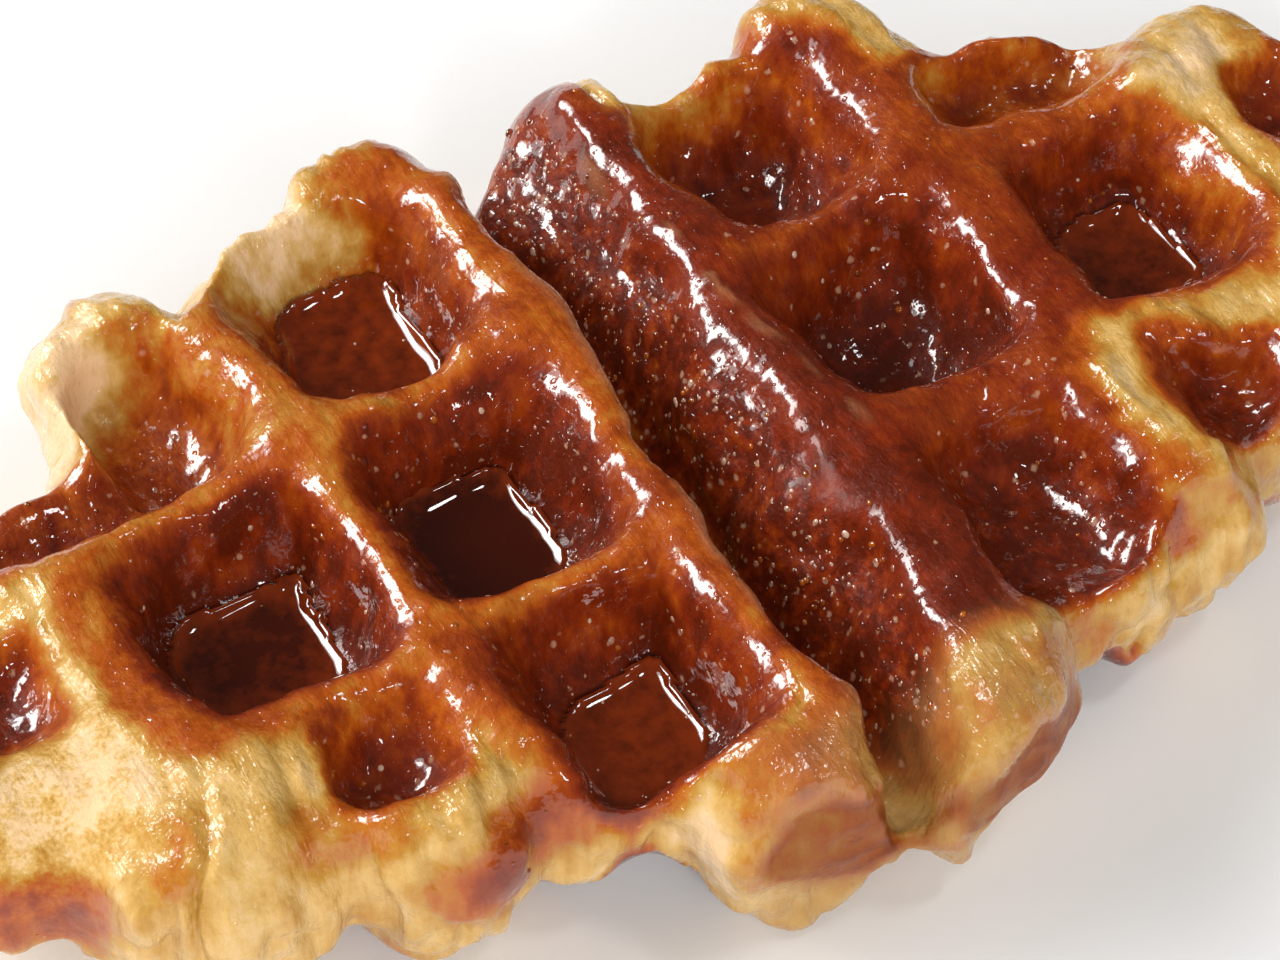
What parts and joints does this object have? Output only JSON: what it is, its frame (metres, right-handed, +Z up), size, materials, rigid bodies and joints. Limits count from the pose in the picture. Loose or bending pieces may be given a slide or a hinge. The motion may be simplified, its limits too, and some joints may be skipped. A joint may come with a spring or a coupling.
{
  "type": "croffle",
  "caption": "Glazed croffle: a croissant roll pressed in a deep-grid waffle iron, long and tapered, with square pockets and a deep seam across its middle.",
  "frame": {"origin": "middle of the footprint, on the surface that the croffle rests on", "axes": "+X along the roll, towards the right in the picture; +Y across it, away from the two pale roll ends; +Z up"},
  "size_m": [0.1496, 0.0832, 0.0226],
  "materials": {
    "glazed pastry": "flaky baked dough, caramel brown and glossy with clear sugar glaze on top and in the pockets, pale golden and satin at the puffed sides"
  },
  "bodies": {
    "root": {"croffle": "glazed pastry"}
  },
  "joints": []
}
